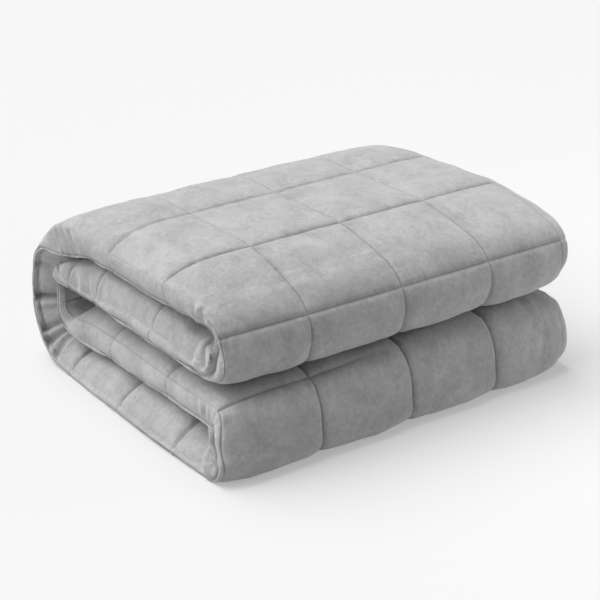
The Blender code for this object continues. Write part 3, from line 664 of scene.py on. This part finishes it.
def suedeFinish():  # clouds, brushed marks and grain for colour and bump, with painted shade along the seams
    material = bpy.data.materials.new("greySuede")
    material.use_nodes = True
    nodes, links = material.node_tree.nodes, material.node_tree.links
    shader = nodes["Principled BSDF"]

    def readMap(title):
        node = nodes.new("ShaderNodeUVMap")
        node.uv_map = title
        return node.outputs["UV"]

    def noise(title):
        scale, detail, distortion, stretch, turn = suede[title]
        mapping = nodes.new("ShaderNodeMapping")
        mapping.inputs["Scale"].default_value = (stretch[0], stretch[1], 1.0)
        mapping.inputs["Rotation"].default_value = (0.0, 0.0, radians(turn))
        texture = nodes.new("ShaderNodeTexNoise")
        texture.inputs["Scale"].default_value = scale
        texture.inputs["Detail"].default_value = detail
        texture.inputs["Distortion"].default_value = distortion
        links.new(place, mapping.inputs["Vector"])
        links.new(mapping.outputs["Vector"], texture.inputs["Vector"])
        return texture.outputs["Fac"]

    def blend(first, second, share):
        mix = nodes.new("ShaderNodeMix")
        mix.inputs["Factor"].default_value = share
        links.new(first, mix.inputs["A"])
        links.new(second, mix.inputs["B"])
        return mix.outputs["Result"]

    def reckon(operation, first, second=0.0, third=0.0):
        node = nodes.new("ShaderNodeMath")
        node.operation = operation
        for socket, value in zip(node.inputs, (first, second, third)):
            if isinstance(value, float):
                socket.default_value = value
            else:
                links.new(value, socket)
        return node.outputs["Value"]

    place = readMap("clothMap")
    marks, strokes, grain = noise("marks"), noise("strokes"), noise("grain")
    mottle = noise("clouds")
    for layer, share in zip((marks, strokes, grain), suede["shares"]):
        mottle = blend(mottle, layer, share)
    ramp = nodes.new("ShaderNodeValToRGB")
    for stop, position, tone in zip(ramp.color_ramp.elements, suede["rampEnds"], ("dark", "light")):
        stop.position = position
        stop.color = suede[tone]
    links.new(mottle, ramp.inputs["Fac"])

    # painted shade along the seam grooves: 1 less strength times the line and its halo; the line is the
    # line's shade * stitches * exp(-(away / seamWidth)^2), and the halo is its shade * exp(-away /
    # seamHalo)
    apart = nodes.new("ShaderNodeSeparateXYZ")
    links.new(readMap("seamMap"), apart.inputs["Vector"])
    run = nodes.new("ShaderNodeSeparateXYZ")
    links.new(place, run.inputs["Vector"])
    awayU, awayV = apart.outputs["X"], apart.outputs["Y"]
    away = reckon("MINIMUM", awayU, awayV)
    narrow = reckon("DIVIDE", away, suede["seamWidth"])
    line = reckon("EXPONENT", reckon("MULTIPLY", reckon("MULTIPLY", narrow, narrow), -1.0))
    halo = reckon("EXPONENT", reckon("DIVIDE", away, -suede["seamHalo"]))
    nearer = reckon("LESS_THAN", awayU, awayV)
    travel = nodes.new("ShaderNodeMix")
    links.new(nearer, travel.inputs["Factor"])
    links.new(run.outputs["X"], travel.inputs["A"])
    links.new(run.outputs["Y"], travel.inputs["B"])
    beat = reckon("SINE", reckon("MULTIPLY", travel.outputs["Result"], 2 * pi / suede["stitchPitch"]))
    stitches = reckon("MULTIPLY_ADD", beat, suede["stitchSwing"], 1.0 - suede["stitchSwing"])
    strength = nodes.new("ShaderNodeAttribute")
    strength.attribute_name = "seamStrength"
    shade = reckon("MULTIPLY", reckon("MULTIPLY", line, stitches), -suede["paintedSeamShade"])
    shade = reckon("MULTIPLY_ADD", halo, -suede["paintedHaloShade"], shade)
    shade = reckon("MULTIPLY_ADD", shade, strength.outputs["Fac"], 1.0)
    tint = nodes.new("ShaderNodeVectorMath")
    tint.operation = "SCALE"
    links.new(ramp.outputs["Color"], tint.inputs[0])
    links.new(shade, tint.inputs["Scale"])
    links.new(tint.outputs["Vector"], shader.inputs["Base Color"])

    softBump = nodes.new("ShaderNodeBump")
    softBump.inputs["Distance"].default_value = suede["softBump"]
    links.new(blend(marks, strokes, suede["strokeShare"]), softBump.inputs["Height"])
    grainBump = nodes.new("ShaderNodeBump")
    grainBump.inputs["Distance"].default_value = suede["grainBump"]
    links.new(grain, grainBump.inputs["Height"])
    links.new(softBump.outputs["Normal"], grainBump.inputs["Normal"])
    links.new(grainBump.outputs["Normal"], shader.inputs["Normal"])
    shader.inputs["Roughness"].default_value = suede["roughness"]
    shader.inputs["Specular IOR Level"].default_value = suede["specular"]
    shader.inputs["Sheen Weight"].default_value = suede["sheen"]
    shader.inputs["Sheen Roughness"].default_value = suede["sheenRoughness"]
    return material


blanketPiece = buildBlanket()
blanketPiece.data.materials.append(suedeFinish())
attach(blanketPiece, "root")
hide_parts("blanket")
print("blanket made:", len(blanketPiece.data.polygons), "faces")


studio = {
    "floorSize": 16.0,
    "floorColor": (0.575, 0.580, 0.578, 1.0),
    "floorGlow": (0.935, 0.943, 0.939, 1.0),
    "floorGlowShare": 0.33,
    "skyColor": (1.0, 1.0, 1.0, 1.0),
    "skyStrength": 0.29,
    # strength, softness, degrees from overhead and direction
    "suns": ((3.85, 56.0, 29.0, -22.0), (1.45, 50.0, 60.0, -74.0)),
    # watts, width, place and aim of a low panel at the front right
    "panel": (3.3, 0.5, (0.95, -0.65, 0.26), (0.25, -0.2, 0.05)),
}


def buildStudio():  # a plain floor that glows a little, a white sky, two wide suns and a low panel
    half = studio["floorSize"] / 2
    mesh = bpy.data.meshes.new("floor")
    corners = [(-half, -half, 0), (half, -half, 0), (half, half, 0), (-half, half, 0)]
    mesh.from_pydata(corners, [], [(0, 1, 2, 3)])
    floor = bpy.data.objects.new("floor", mesh)
    bpy.context.scene.collection.objects.link(floor)
    material = bpy.data.materials.new("palePaper")
    material.use_nodes = True
    nodes, links = material.node_tree.nodes, material.node_tree.links
    shader = nodes["Principled BSDF"]
    shader.inputs["Base Color"].default_value = studio["floorColor"]
    shader.inputs["Roughness"].default_value = 1.0
    shader.inputs["Specular IOR Level"].default_value = 0.0
    glow = nodes.new("ShaderNodeEmission")
    glow.inputs["Color"].default_value = studio["floorGlow"]
    both = nodes.new("ShaderNodeMixShader")
    both.inputs["Fac"].default_value = studio["floorGlowShare"]
    links.new(shader.outputs["BSDF"], both.inputs[1])
    links.new(glow.outputs["Emission"], both.inputs[2])
    links.new(both.outputs["Shader"], nodes["Material Output"].inputs["Surface"])
    mesh.materials.append(material)
    sky = bpy.data.worlds.new("sky")
    sky.use_nodes = True
    sky.node_tree.nodes["Background"].inputs["Color"].default_value = studio["skyColor"]
    sky.node_tree.nodes["Background"].inputs["Strength"].default_value = studio["skyStrength"]
    bpy.context.scene.world = sky
    for number, (strength, softness, tilt, turn) in enumerate(studio["suns"]):
        light = bpy.data.lights.new("sun%d" % number, "SUN")
        light.energy = strength
        light.angle = radians(softness)
        sun = bpy.data.objects.new(light.name, light)
        tilt, turn = radians(tilt), radians(turn)
        toSun = Vector((sin(turn) * sin(tilt), cos(turn) * sin(tilt), cos(tilt)))
        sun.rotation_euler = toSun.to_track_quat("Z", "Y").to_euler()
        bpy.context.scene.collection.objects.link(sun)
    watts, width, place, aim = studio["panel"]
    light = bpy.data.lights.new("lowPanel", "AREA")
    light.energy, light.size = watts, width
    panel = bpy.data.objects.new("lowPanel", light)
    panel.location = place
    panel.rotation_euler = (Vector(place) - Vector(aim)).to_track_quat("Z", "Y").to_euler()
    bpy.context.scene.collection.objects.link(panel)
    bpy.context.scene.view_settings.view_transform = "Standard"


camera = {
    "place": (-0.89501, -1.21376, 0.77429),
    "azimuth": -36.41,
    "elevation": 24.65,
    "lens": 78.957,
    "sensor": 36.0,
}


def buildCamera():  # axes from azimuth and elevation, looking down at the stack's near corner
    azimuth, elevation = radians(camera["azimuth"]), radians(camera["elevation"])
    back = Vector((sin(azimuth) * cos(elevation), -cos(azimuth) * cos(elevation), sin(elevation)))
    right = Vector((cos(azimuth), sin(azimuth), 0.0))
    turn = Matrix((right, back.cross(right), back)).transposed().to_4x4()
    turn.translation = Vector(camera["place"])
    data = bpy.data.cameras.new("camera")
    data.lens, data.sensor_width = camera["lens"], camera["sensor"]
    thing = bpy.data.objects.new("camera", data)
    thing.matrix_world = turn
    bpy.context.scene.collection.objects.link(thing)
    bpy.context.scene.camera = thing


buildStudio()
buildCamera()
print("studio and camera made")
